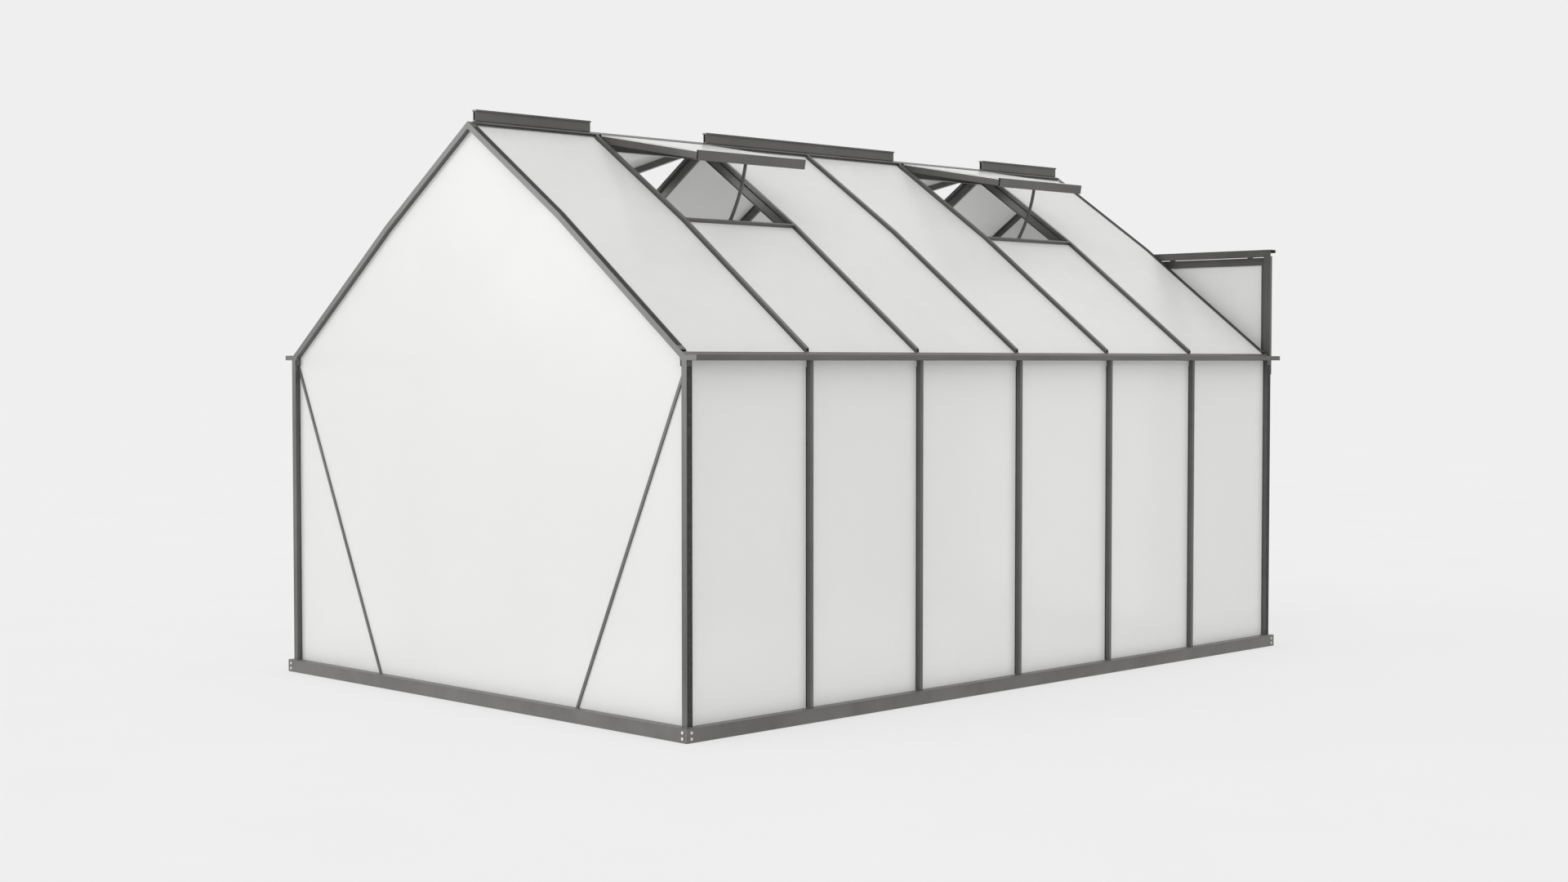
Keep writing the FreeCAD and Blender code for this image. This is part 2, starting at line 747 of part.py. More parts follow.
def hinge_slope():
    """The hinge axis as a distance down the slope and a rise above the roof line."""
    dz = hinge_height - apex_height
    return (hinge_x * upper_cos - dz * upper_sin, hinge_x * upper_sin + dz * upper_cos)


def stay_pivot():
    return slope_point(stay_pivot_s, stay_pivot_h)


def polar(point):
    """Distance of a point from the hinge axis, and its angle below the shut vent's plane."""
    dx = point[0] - hinge_x
    dz = point[1] - hinge_height
    return math.hypot(dx, dz), math.degrees(math.atan2(-dz, dx)) - upper_pitch


def vent_frame(y):
    """Four rails and the stay's bracket of the vent in the bay centred on y."""
    half = bay / 2 - vent_side_gap
    top = rail_top + sheet + 2.0
    bottom = top - front_rail_height
    front_start = vent_length - front_rail
    top_end = top_rail_start + top_rail
    hinge_s, hinge_h = hinge_slope()
    pieces = []
    for side in (-1, 1):
        y0 = y + side * (half - rail_width)
        y1 = y + side * half
        outer = slope_box(top_end, front_start, -rail_bottom, rail_top, y0, y1)
        hollow = slope_box(top_end, front_start, -rail_bottom + wall, rail_top - wall,
                           y0 + side * wall, y1 - side * wall)
        pieces.append(outer.cut(hollow))
    head = slope_box(top_rail_start, top_end, -rail_bottom + 4.0, top, y - half, y + half)
    head_hollow = slope_box(top_rail_start + wall, top_end - wall, -rail_bottom + 4.0 + wall, top - wall,
                            y - half, y + half)
    neck = slope_box(hinge_s, top_rail_start, hinge_h - wall / 2, hinge_h + wall / 2,
                     y - half, y + half)
    roll = rod(bead, vec(hinge_x, y - half, hinge_height), vec(hinge_x, y + half, hinge_height))
    pieces.append(join(head.cut(head_hollow), neck, roll))
    front = slope_box(front_start, vent_length, bottom, top, y - half, y + half)
    front_hollow = slope_box(front_start + wall, vent_length - wall, bottom + wall, top - wall,
                             y - half, y + half)
    front = front.cut(front_hollow)
    inner = stay_thickness / 2 + cheek_gap
    low = stay_pivot_h - pivot_pin - 4.0
    high = stay_pivot_h + pivot_pin + 4.0
    plates = [slope_box(stay_pivot_s - 6.0, front_start, low, high, y + inner, y + inner + cheek),
              slope_box(stay_pivot_s - 6.0, front_start, low, high, y - inner - cheek, y - inner)]
    x, z = stay_pivot()
    pin = rod(pivot_pin, vec(x, y - inner - cheek, z), vec(x, y + inner + cheek, z))
    pieces.append(join(front, pin, *plates))
    return group([open_vent(piece) for piece in pieces])


def vent_panel(y):
    half = bay / 2 - vent_side_gap
    sheet_box = slope_box(top_rail_start + top_rail, vent_length - front_rail,
                          rail_top, rail_top + sheet, y - half, y + half)
    return open_vent(sheet_box)


def polar_point(radius, angle):
    """Point at a radius from the hinge axis, angle degrees below the shut vent's plane."""
    turn = math.radians(upper_pitch + angle)
    return (hinge_x + radius * math.cos(turn), hinge_height - radius * math.sin(turn))


def stay_reach():
    """Distances from the hinge and angles of the stay's pivot and of its last hole."""
    start_radius, start_angle = polar(stay_pivot())
    end_radius, end_angle = polar(slope_point(catch_s, catch_h))
    return start_radius, start_angle, end_radius, end_angle + vent_open


def stay_line(share, offset):
    """Point on the stay, share of the way to its catch, offset from its centre line."""
    start_radius, start_angle, end_radius, end_angle = stay_reach()
    radius = start_radius + (end_radius - start_radius) * share
    return polar_point(radius + offset, start_angle + (end_angle - start_angle) * share)


def stay_tip(share, ahead):
    """Point on the stay's centre line moved ahead along it."""
    _, start_angle, _, end_angle = stay_reach()
    turn = math.radians(upper_pitch + start_angle + (end_angle - start_angle) * share)
    x, z = stay_line(share, 0)
    return (x - ahead * math.sin(turn), z - ahead * math.cos(turn))


def stay(y):
    """Curved flat stay with round ends, a pivot hole and a row of catch holes."""
    half = stay_width / 2
    y0 = y - stay_thickness / 2
    last = 1 + stay_tail

    def arc(*points):
        corners = [vec(x, y0, z) for x, z in points]
        return Part.Arc(*corners).toShape()

    edges = [arc(stay_line(0, half), stay_line(last / 2, half), stay_line(last, half)),
             arc(stay_line(last, half), stay_tip(last, half), stay_line(last, -half)),
             arc(stay_line(last, -half), stay_line(last / 2, -half), stay_line(0, -half)),
             arc(stay_line(0, -half), stay_tip(0, -half), stay_line(0, half))]
    plate = Part.Face(Part.Wire(edges)).extrude(vec(0, stay_thickness, 0))
    through = stay_thickness + 1
    holes = []
    for share in stay_hole_shares:
        x, z = stay_line(share, 0)
        holes.append(rod(stay_hole, vec(x, y0 - 1, z), vec(x, y0 + through, z)))
    x, z = stay_pivot()
    holes.append(rod(pivot_pin + running_gap, vec(x, y0 - 1, z), vec(x, y0 + through, z)))
    return open_vent(plate.cut(holes))


def vent_sill(y):
    """Sill across a vent bay: front box, sloping back, drain floor and the stay's catch."""
    half = bay / 2 - sill_side_gap
    low = -panel_drop + sill_lift
    outer = [(sill_front, low), (sill_front, sill_top), (sill_front - sill_nose, sill_top),
             (sill_back, -sill_shoulder), (sill_back, wall - sill_floor), (sill_inner, wall - sill_floor)]
    inner = [(sill_inner, -sill_floor), (sill_back + wall, -sill_floor),
             (sill_back + wall, -sill_shoulder - wall), (sill_front - sill_nose + 1, sill_top - wall),
             (sill_front - wall, sill_top - wall), (sill_front - wall, low)]
    section = slope_plate(outer + inner, y - half, y + half)
    shelf_start = sill_back + wall
    shelf = slope_box(shelf_start, shelf_start + sill_shelf, -seat_low, -panel_low, y - half, y + half)
    x, z = slope_point(catch_s, catch_h)
    peg_end = y + stay_thickness / 2 + peg_gap
    arm_start = peg_end + catch_gap
    arm_end = arm_start + catch_wall
    plate = box(x - catch_half, x + catch_half, arm_start, arm_end, z - catch_half, z + catch_half)
    tab = slope_box(sill_inner - catch_half, sill_inner + catch_half, -sill_floor, wall - sill_floor,
                    arm_start, arm_end)
    pin = rod(peg, vec(x, peg_end, z), vec(x, arm_end, z))
    return join(section, shelf, plate, tab, pin)


# ---------------------------------------------------------------- all the nodes
def both_sides(name, shape):
    return {name + "_right": shape, name + "_left": mirror_x(shape)}


def model():
    nodes = base_rails()
    nodes["base_corner_brackets"] = corner_brackets()
    nodes["base_bolts"] = base_bolts()
    post = corner_post()
    nodes.update(both_sides("corner_post_front", post))
    nodes.update(both_sides("corner_post_back", mirror_y(post)))
    nodes.update(both_sides("wall_posts", group([wall_post(y) for y in bay_lines])))
    for number, y in enumerate(bay_lines, 1):
        nodes.update(both_sides("roof_bar_%d" % number, roof_bar(y)))
    rafter = gable_rafter()
    pair = [rafter, mirror_x(rafter)]
    nodes["gable_rafters_front"] = group(pair)
    nodes["gable_rafters_back"] = group([mirror_y(each) for each in pair])
    nodes.update(both_sides("eave_gutter", eave_gutter()))
    nodes["gutter_end_caps"] = group(four_corners(gutter_end_cap()))
    nodes["ridge_beam"] = ridge_beam()
    nodes["ridge_crests"] = ridge_crests()
    sills = [vent_sill(y) for y in vent_bays]
    nodes["vent_sills"] = group(sills + [mirror_x(each) for each in sills])
    nodes.update(both_sides("wall_panels", group(wall_panels())))
    nodes.update(both_sides("roof_panels", group(roof_panels())))
    nodes["gable_panel_front"] = gable_panel_front()
    nodes["gable_panels_back"] = gable_panels_back()
    brace = gable_brace()
    nodes["gable_braces"] = group([brace, mirror_x(brace)])
    jamb = door_jamb()
    nodes["door_jambs"] = group([jamb, mirror_x(jamb), door_header()])
    strut = track_strut()
    nodes["door_track"] = group([door_track(), strut, mirror_x(strut)])
    nodes.update(both_sides("door_frame", leaf_frame()))
    nodes.update(both_sides("door_panels", leaf_panels()))
    for place, centre in zip(("inner", "outer"), wheel_centres()):
        nodes.update(both_sides("door_wheel_" + place, door_wheel(centre)))
    for place, y in zip(("front", "back"), vent_bays):
        nodes.update(both_sides("vent_frame_" + place, vent_frame(y)))
        nodes.update(both_sides("vent_panel_" + place, vent_panel(y)))
        nodes.update(both_sides("vent_stay_" + place, stay(y)))
    return nodes


os.makedirs("parts", exist_ok=True)
for node, shape in model().items():
    placed = shape.copy()
    placed.translate(vec(0, shift_y, 0))
    placed.exportStep("parts/%s.step" % node)
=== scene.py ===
"""Looks of the greenhouse: fluted milky sheets, black beads and strips that paint the shade beside and on the
bars, coated bars, floor, light and camera.
"""

import json
import math

import bmesh
import bpy
import numpy as np
from bpy.props import FloatProperty, FloatVectorProperty, IntProperty, PointerProperty
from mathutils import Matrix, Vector


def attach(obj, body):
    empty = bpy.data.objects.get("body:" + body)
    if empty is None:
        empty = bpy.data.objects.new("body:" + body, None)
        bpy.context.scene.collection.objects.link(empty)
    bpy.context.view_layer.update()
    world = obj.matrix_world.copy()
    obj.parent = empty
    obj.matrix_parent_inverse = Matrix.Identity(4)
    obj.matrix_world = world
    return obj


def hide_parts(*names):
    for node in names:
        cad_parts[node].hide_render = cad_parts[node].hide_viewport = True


bl_info = {
    "name": "Greenhouse finish",
    "version": (1, 0, 0),
    "blender": (4, 5, 0),
    "location": "3D View > Sidebar > Greenhouse",
    # The seals in this description are black beads and strips of painted shade.
    "description": "Builds the sheets, seals, finishes and studio of a walk-in greenhouse",
    "category": "Object",
}

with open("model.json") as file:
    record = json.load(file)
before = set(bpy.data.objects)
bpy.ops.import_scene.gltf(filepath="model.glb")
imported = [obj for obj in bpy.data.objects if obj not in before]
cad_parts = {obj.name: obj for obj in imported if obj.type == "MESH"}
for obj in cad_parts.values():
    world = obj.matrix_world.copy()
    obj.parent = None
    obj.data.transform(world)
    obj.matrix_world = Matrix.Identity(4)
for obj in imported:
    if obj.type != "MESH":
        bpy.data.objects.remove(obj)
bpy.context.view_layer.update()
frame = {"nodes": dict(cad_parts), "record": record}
record = frame["record"]
body_of_node = {node: body for body, nodes in record["behaviour"]["bodies"].items() for node in nodes}
slot_of_node = {part["node"]: part["material_slot"] for part in record["subparts"]}

STRIP_SHEETS = {
    "wall_panels_left": "wall_sheets_left",
    "wall_panels_right": "wall_sheets_right",
    "roof_panels_left": "roof_sheets_left",
    "roof_panels_right": "roof_sheets_right",
    "vent_panel_front_left": "vent_sheet_front_left",
    "vent_panel_front_right": "vent_sheet_front_right",
    "vent_panel_back_left": "vent_sheet_back_left",
    "vent_panel_back_right": "vent_sheet_back_right",
}
PLATE_SHEETS = {
    "gable_panel_front": "gable_sheet_front",
    "gable_panels_back": "gable_sheets_back",
    "door_panels_left": "door_sheets_left",
    "door_panels_right": "door_sheets_right",
}
# Sheets that get black beads of painted contact shade along the bars beside them.
SHADE_BEAD_WALLS = ("wall_panels_left", "wall_panels_right")
SHADE_BEAD_ROOFS = ("roof_panels_left", "roof_panels_right")
POINT_DIGITS = 5        # CAD points are equal to a hundredth of a millimetre
SECTION_DIGITS = 4
HAIR = 1e-6             # metres, less than any difference meant in the CAD
NOTCH_LEAN = 0.0001     # metres that an upright notch leans, so that each X has one height
SHARP_ANGLE = math.radians(35.0)
PLATE_ROWS = 3


# ------------------------------------------------------------------ settings
class SheetSettings(bpy.types.PropertyGroup):
    """Hollow sheets."""

    flute: FloatProperty(
        name="Flute", description="Distance between the ribs inside a sheet", default=0.0105, unit="LENGTH"
    )
    samples: IntProperty(name="Samples", description="Points across each flute", default=4, min=2)
    sink: FloatProperty(
        name="Sink", description="How far the skins dip between two ribs", default=0.00012, unit="LENGTH"
    )
    thickness: FloatProperty(
        name="Thickness", description="Sheet thickness", default=0.006, unit="LENGTH"
    )
    colour: FloatVectorProperty(
        name="Colour", description="Milky sheet", default=(0.965, 0.965, 0.957), subtype="COLOR", size=3
    )
    light_through: FloatProperty(
        name="Light through", description="Share of the light that passes", default=0.27, subtype="FACTOR"
    )


class FrameSettings(bpy.types.PropertyGroup):
    """Coated aluminium bars."""

    colour: FloatVectorProperty(
        name="Colour", description="Dark coat", default=(0.095, 0.093, 0.090), subtype="COLOR", size=3
    )
    dust_colour: FloatVectorProperty(
        name="Dust", description="Film on upward faces", default=(0.30, 0.29, 0.27), subtype="COLOR", size=3
    )
    roughness: FloatProperty(
        name="Roughness", description="Gloss of the coat", default=0.30, subtype="FACTOR"
    )
    grain: FloatProperty(
        name="Grain", description="Height of the coat's orange peel", default=0.00002, unit="LENGTH"
    )


class PaintedShadeSettings(bpy.types.PropertyGroup):
    """Black beads and strips of painted shade: beads on the sheets beside the bars, strips on the corner
    bars.
    """

    radius: FloatProperty(
        name="Radius", description="Radius of the half round bead", default=0.0016, unit="LENGTH"
    )
    steps: IntProperty(name="Steps", description="Points round the bead", default=9, min=5)
    bar_half: FloatProperty(
        name="Half bar", description="Half the width of a bar's outer box", default=0.008, unit="LENGTH"
    )
    tuck: FloatProperty(
        name="Tuck", description="Sheet's edge from the middle of its bar", default=0.0025, unit="LENGTH"
    )
    shade_strip_width: FloatProperty(
        name="Cover width", description="Width of the strip over a corner bar", default=0.0235, unit="LENGTH"
    )
    shade_strip_height: FloatProperty(
        name="Cover height", description="Height of that strip", default=0.0012, unit="LENGTH"
    )
    shade_strip_end: FloatProperty(
        name="Cover end", description="Bare bar beyond a strip's end", default=0.022, unit="LENGTH"
    )
    shade_strip_foot: FloatProperty(
        name="Cover foot", description="Bare post below a strip", default=0.004, unit="LENGTH"
    )
    corner_middle: FloatProperty(
        name="Corner middle", description="Corner bar's middle from its face", default=0.0135, unit="LENGTH"
    )
    root: FloatProperty(
        name="Root", description="Depth of a bead's edges below the surface", default=0.0002, unit="LENGTH"
    )
    wall_foot: FloatProperty(
        name="Wall foot", description="Sheet hidden in the base rail", default=0.052, unit="LENGTH"
    )
    wall_head: FloatProperty(
        name="Wall head", description="Sheet hidden behind the gutter", default=0.024, unit="LENGTH"
    )
    roof_head: FloatProperty(
        name="Roof head", description="Sheet hidden under the ridge", default=0.034, unit="LENGTH"
    )
    roof_foot: FloatProperty(
        name="Roof foot", description="Sheet hidden in the eave", default=0.018, unit="LENGTH"
    )


class StageSettings(bpy.types.PropertyGroup):
    """Floor, light and camera."""

    azimuth: FloatProperty(
        name="Azimuth", description="Camera direction", default=math.radians(45.0), subtype="ANGLE"
    )
    pitch: FloatProperty(
        name="Pitch", description="Camera tilt below level", default=math.radians(2.0961), subtype="ANGLE"
    )
    lens: FloatProperty(name="Lens", description="Focal length in millimetres", default=50.0)
    place: FloatVectorProperty(
        name="Place", description="Camera position", default=(6.944, -7.0755, 1.3527), subtype="XYZ", size=3
    )
    backdrop: FloatProperty(name="Backdrop", description="Brightness of the backdrop", default=0.863)
    key: FloatProperty(name="Key", description="Strength of the key light", default=0.66)
    key_direction: FloatVectorProperty(
        name="Key direction", description="Way its light travels", default=(0.70, 0.70, -0.12), subtype="XYZ"
    )
    key_spread: FloatProperty(
        name="Key spread", description="Width of the key light", default=math.radians(18.0), subtype="ANGLE"
    )
    fill: FloatProperty(name="Fill", description="Strength of the fill light", default=0.35)
    fill_direction: FloatVectorProperty(
        name="Fill direction", description="Way its light travels", default=(-0.5, 0.6, -0.75), subtype="XYZ"
    )
    fill_spread: FloatProperty(
        name="Fill spread", description="Width of the fill light", default=math.radians(60.0), subtype="ANGLE"
    )
    floor_glow: FloatProperty(
        name="Floor glow", description="Floor's own light as a share of the backdrop", default=0.645
    )
    floor_drop: FloatProperty(
        name="Floor drop", description="Floor below the base rails", default=0.0005, unit="LENGTH"
    )


SETTINGS = {
    "greenhouse_sheets": SheetSettings,
    "greenhouse_frame": FrameSettings,
    "greenhouse_seals": PaintedShadeSettings,
    "greenhouse_stage": StageSettings,
}


# ------------------------------------------------------------------ reading the frame
def node_solids(name):
    """Corner points of each separate solid of a CAD node.

    Equal points are merged, then the lowest corner number spreads over every triangle
    until nothing changes, so that all corners of one solid share one number.
    """
    mesh = frame["nodes"][name].data
    points = np.empty(len(mesh.vertices) * 3)
    mesh.vertices.foreach_get("co", points)
    index = np.empty(len(mesh.loops), dtype=np.int64)
    mesh.loops.foreach_get("vertex_index", index)
    corners, merged = np.unique(np.round(points.reshape(-1, 3), POINT_DIGITS), axis=0, return_inverse=True)
    triangles = merged.reshape(-1)[index].reshape(-1, 3)
    label = np.arange(len(corners))
    settled = False
    while not settled:
        before = label.copy()
        np.minimum.at(label, triangles.ravel(), np.repeat(label[triangles].min(axis=1), 3))
        settled = bool((label == before).all())
    return [corners[label == number] for number in np.unique(label)]


def section_stations(corners):
    """Inner and outer section corners in X and Z at each bend, from the ground or the ridge on.

    A strip's section is a row of corner pairs. Sorting by height puts the two corners of
    a level cut together, and sorting by width those of an upright cut. In each pair the
    outer corner is the one with the larger sum of width and height.
    """
    section = np.unique(np.round(corners[:, [0, 2]], SECTION_DIGITS), axis=0)
    upright = np.ptp(np.abs(section[:, 0])) < np.ptp(section[:, 1])
    key = section[:, 1] if upright else np.abs(section[:, 0])
    pairs = section[np.argsort(key, kind="stable")].reshape(-1, 2, 2)
    outward = np.abs(pairs[:, :, 0]) + pairs[:, :, 1]
    order = np.argsort(outward, axis=1)
    return np.take_along_axis(pairs, order[:, :, None], axis=1)


# ------------------------------------------------------------------ surfaces
def quads_between(number, ahead):
    """Quads between each row of point numbers and the row of the same length ahead of it."""
    return np.stack([number[:, :-1], number[:, 1:], ahead[:, 1:], ahead[:, :-1]], axis=-1).reshape(-1, 4)


def shell_quads(rows, columns):
    """Quads of two facing grids joined round their rim into one closed shell."""
    back = rows * columns
    number = np.arange(back).reshape(rows, columns)
    skin = quads_between(number[:-1], number[1:])
    rim = np.concatenate([number[0, :], number[1:, -1], number[-1, -2::-1], number[-2:0:-1, 0]])
    ahead = np.roll(rim, -1)
    sides = np.stack([rim, ahead, ahead + back, rim + back], axis=1)
    return np.concatenate([skin, skin + back, sides])


def flutes_between(start, end, settings):
    """Whole number of flutes that fits best between two edges."""
    return max(1, int(round((end - start) / settings.flute)))


def across_steps(start, end, settings):
    """Places across a sheet, the same number in every flute."""
    return np.linspace(start, end, flutes_between(start, end, settings) * settings.samples + 1)


def flute_phase(across, settings):
    """Flutes counted from a sheet's first edge, a whole number at both edges."""
    share = (across - across[0]) / (across[-1] - across[0])
    return share * flutes_between(across[0], across[-1], settings)


def flute_dip(phase, settings):
    """Dip of a skin between two ribs: sink times the size of the sine of half a turn per flute."""
    return settings.sink * np.abs(np.sin(math.pi * phase))


def strip_shell(corners, settings):
    """Shell of a strip sheet: skin point = section corner moved into the sheet by the flute's dip.

    The first parameter runs across the sheet along Y and the second along the section, so
    the flutes run down the slope or the wall. A move of h square to the skin is h over the
    thickness times the step from one skin's corner to the other's.
    """
    pairs = section_stations(corners)
    y = across_steps(corners[:, 1].min(), corners[:, 1].max(), settings)
    phase = flute_phase(y, settings)
    dip = flute_dip(phase, settings)[:, None, None] / settings.thickness
    inner, outer = pairs[:, 0], pairs[:, 1]
    points = np.empty((2, len(y), len(pairs), 3))
    points[:, :, :, 1] = y[None, :, None]
    points[0][:, :, [0, 2]] = outer + (inner - outer) * dip
    points[1][:, :, [0, 2]] = inner - (inner - outer) * dip
    return two_skins(points, phase[:, None] * settings.flute, length_along(outer)[None, :])


def length_along(line):
    """Length from a line's first point to each of its points."""
    return np.concatenate([[0.0], np.cumsum(np.linalg.norm(np.diff(line, axis=0), axis=1))])


def surface_marks(across, along):
    """Surface coordinates of a grid, in metres across and along it."""
    return np.stack(np.broadcast_arrays(across, along), axis=-1).reshape(-1, 2)


def two_skins(points, across, along):
    """Closed shell of two facing skins of points, without end caps."""
    rows, columns = points.shape[1:3]
    marks = np.concatenate([surface_marks(across, along)] * 2)
    return points.reshape(-1, 3), shell_quads(rows, columns), [], marks


def top_edge(corners):
    """X and Z of a plate's top corners from left to right, with upright notches leaned by a hair."""
    floor = corners[:, 2].min()
    above = corners[corners[:, 2] > floor + 10 * NOTCH_LEAN]
    top = np.unique(np.round(above[:, [0, 2]], POINT_DIGITS), axis=0)
    twin = np.isclose(top[:, None, 0], top[None, :, 0], atol=HAIR)
    lower = (twin & (top[None, :, 1] > top[:, None, 1] + HAIR)).any(axis=1)
    top[lower, 0] += np.sign(top[lower, 0]) * NOTCH_LEAN
    return top[np.argsort(top[:, 0])]


def plate_shell(corners, settings):
    """Shell of an upright plate sheet: height = floor + share * (top edge at X - floor).

    The first parameter runs across the sheet along X and the second is the share of the
    height, and each skin dips along Y between the ribs.
    """
    top = top_edge(corners)
    x = across_steps(top[0, 0], top[-1, 0], settings)
    x = np.unique(np.concatenate([x, top[:, 0]]))
    floor = corners[:, 2].min()
    share = np.linspace(0.0, 1.0, PLATE_ROWS)
    height = floor + share[None, :] * (np.interp(x, top[:, 0], top[:, 1]) - floor)[:, None]
    phase = flute_phase(x, settings)
    dip = flute_dip(phase, settings)[:, None]
    low, high = corners[:, 1].min(), corners[:, 1].max()
    points = np.empty((2, *height.shape, 3))
    points[:, :, :, 0] = x[None, :, None]
    points[:, :, :, 2] = height[None]
    points[0, :, :, 1] = low + dip
    points[1, :, :, 1] = high - dip
    return two_skins(points, phase[:, None] * settings.flute, height)


def carried_bead(across, out, path, outward):
    """Bead point = path point + across along Y + out along the outward step at that path point.

    The first parameter runs round the profile and the second along the path. The profile
    is closed by its own first and last points, and both ends are capped.
    """
    rows, columns = len(across), len(path)
    points = path[None] + out[:, None, None] * outward[None]
    points[:, :, 1] += across[:, None]
    number = np.arange(rows * columns).reshape(rows, columns)
    sides = quads_between(number, np.roll(number, -1, axis=0))
    caps = [number[:, 0], number[::-1, -1]]
    marks = surface_marks(across[:, None], length_along(path)[None, :])
    return points.reshape(-1, 3), sides, caps, marks


def half_round(settings):
    """Half round profile: across = r cos t and out = r sin t, with t from 0 to half a turn."""
    turn = np.linspace(0.0, math.pi, settings.steps)
    out = settings.radius * np.sin(turn)
    out[[0, -1]] = -settings.root
    return settings.radius * np.cos(turn), out


def low_cushion(settings):
    """Flat cushion profile: across = half width * cos t and out = height * (sin t) to the power 0.3."""
    turn = np.linspace(0.0, math.pi, 2 * settings.steps + 1)
    out = settings.shade_strip_height * np.sin(turn).clip(0.0) ** 0.3
    out[[0, -1]] = -settings.root
    return settings.shade_strip_width / 2 * np.cos(turn), out


def shade_bead(pairs, middle, settings):
    """Half round bead of painted contact shade along a strip's outer skin at one Y, standing out square to
    the skin.
    """
    inner, outer = pairs[:, 0], pairs[:, 1]
    step = (outer - inner) / thickness_of(pairs)
    return carried_bead(*half_round(settings), in_section(outer, middle), in_section(step, 0.0))


def in_section(pairs, y):
    """Points in space from X and Z pairs at one Y."""
    return np.stack([pairs[:, 0], np.full(len(pairs), y), pairs[:, 1]], axis=1)


def top_line(corners):
    """X and Z of the corners that no line between two others passes above, from low to high X."""
    flat = np.unique(np.round(corners[:, [0, 2]], POINT_DIGITS), axis=0)
    x, z = flat[:, 0], flat[:, 1]
    left, right = x[:, None, None], x[None, :, None]
    between = (left < x) & (x <= right) & (left < right)
    span = np.where(between, right - left, 1.0)
    chord = z[:, None, None] + (z[None, :, None] - z[:, None, None]) * (x - left) / span
    lower = (between & (chord > z + HAIR)).any(axis=(0, 1))
    first = x == x.min()
    lower |= first & (z < z[first].max())
    return flat[~lower]


def mitred(line):
    """Outward step at each point of a line in X and Z, one unit square to both stretches there."""
    run = np.diff(line, axis=0)
    normal = np.stack([-run[:, 1], run[:, 0]], axis=1) / np.hypot(*run.T)[:, None]
    before = np.concatenate([normal[:1], normal])
    after = np.concatenate([normal, normal[-1:]])
    return (before + after) / (1.0 + (before * after).sum(axis=1))[:, None]


def thickness_of(pairs):
    """Thickness square to the first stretch of a strip's section."""
    run = pairs[1, 1] - pairs[0, 1]
    cut = pairs[0, 0] - pairs[0, 1]
    return abs(run[0] * cut[1] - run[1] * cut[0]) / np.hypot(*run)


def make_piece(name, shells, material, body):
    """One object from several closed shells, each of points, quads, end caps and surface marks."""
    points, faces, marks, first = [], [], [], 0
    for shell_points, quads, caps, shell_marks in shells:
        points.append(shell_points)
        marks.append(shell_marks)
        faces += (quads + first).tolist() + [(cap + first).tolist() for cap in caps]
        first += len(shell_points)
    mesh = bpy.data.meshes.new(name)
    mesh.from_pydata(np.concatenate(points), [], faces)
    loops = np.empty(len(mesh.loops), dtype=np.int64)
    mesh.loops.foreach_get("vertex_index", loops)
    layer = mesh.uv_layers.new(name="surface")
    layer.data.foreach_set("uv", np.concatenate(marks)[loops].astype(np.float32).ravel())
    work = bmesh.new()
    work.from_mesh(mesh)
    bmesh.ops.recalc_face_normals(work, faces=work.faces)
    work.to_mesh(mesh)
    work.free()
    mesh.shade_smooth()
    mesh.set_sharp_from_angle(angle=SHARP_ANGLE)
    mesh.materials.append(material)
    piece = bpy.data.objects.new(name, mesh)
    bpy.context.scene.collection.objects.link(piece)
    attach(piece, body)
    return piece


# ------------------------------------------------------------------ shared effects
def new_group(name, inputs, outputs):
    group = bpy.data.node_groups.new(name, "ShaderNodeTree")
    for label, kind, value in inputs:
        socket = group.interface.new_socket(name=label, in_out="INPUT", socket_type=kind)
        socket.default_value = value
    for label, kind in outputs:
        group.interface.new_socket(name=label, in_out="OUTPUT", socket_type=kind)
    return group, group.nodes.new("NodeGroupInput"), group.nodes.new("NodeGroupOutput")


def node(tree, kind, **values):
    """A node with its sockets and settings given by name."""
    made = tree.nodes.new(kind)
    for key, value in values.items():
        if hasattr(made, key):
            setattr(made, key, value)
        else:
            made.inputs[key.replace("_", " ")].default_value = value
    return made


def math_node(tree, operation, first, second):
    made = tree.nodes.new("ShaderNodeMath")
    made.operation = operation
    for socket, value in zip(made.inputs, (first, second)):
        if isinstance(value, (int, float)):
            socket.default_value = value
        else:
            tree.links.new(value, socket)
    return made.outputs[0]


def ranged(tree, value, low, high, to_low=0.0, to_high=1.0):
    made = tree.nodes.new("ShaderNodeMapRange")
    tree.links.new(value, made.inputs["Value"])
    for label, amount in zip(("From Min", "From Max", "To Min", "To Max"), (low, high, to_low, to_high)):
        made.inputs[label].default_value = amount
    return made.outputs["Result"]


def mixed(tree, share, first, second):
    """Colour mix of two colours or sockets by a share socket."""
    made = tree.nodes.new("ShaderNodeMix")
    made.data_type = "RGBA"
    tree.links.new(share, made.inputs[0])
    for socket, value in zip((made.inputs[6], made.inputs[7]), (first, second)):
        if isinstance(value, bpy.types.NodeSocket):
            tree.links.new(value, socket)
        else:
            socket.default_value = value
    return made.outputs[2]


def noise(tree, vector, scale, detail=4.0, roughness=0.5):
    made = node(tree, "ShaderNodeTexNoise", Scale=scale, Detail=detail, Roughness=roughness)
    tree.links.new(vector, made.inputs["Vector"])
    return made.outputs["Fac"]


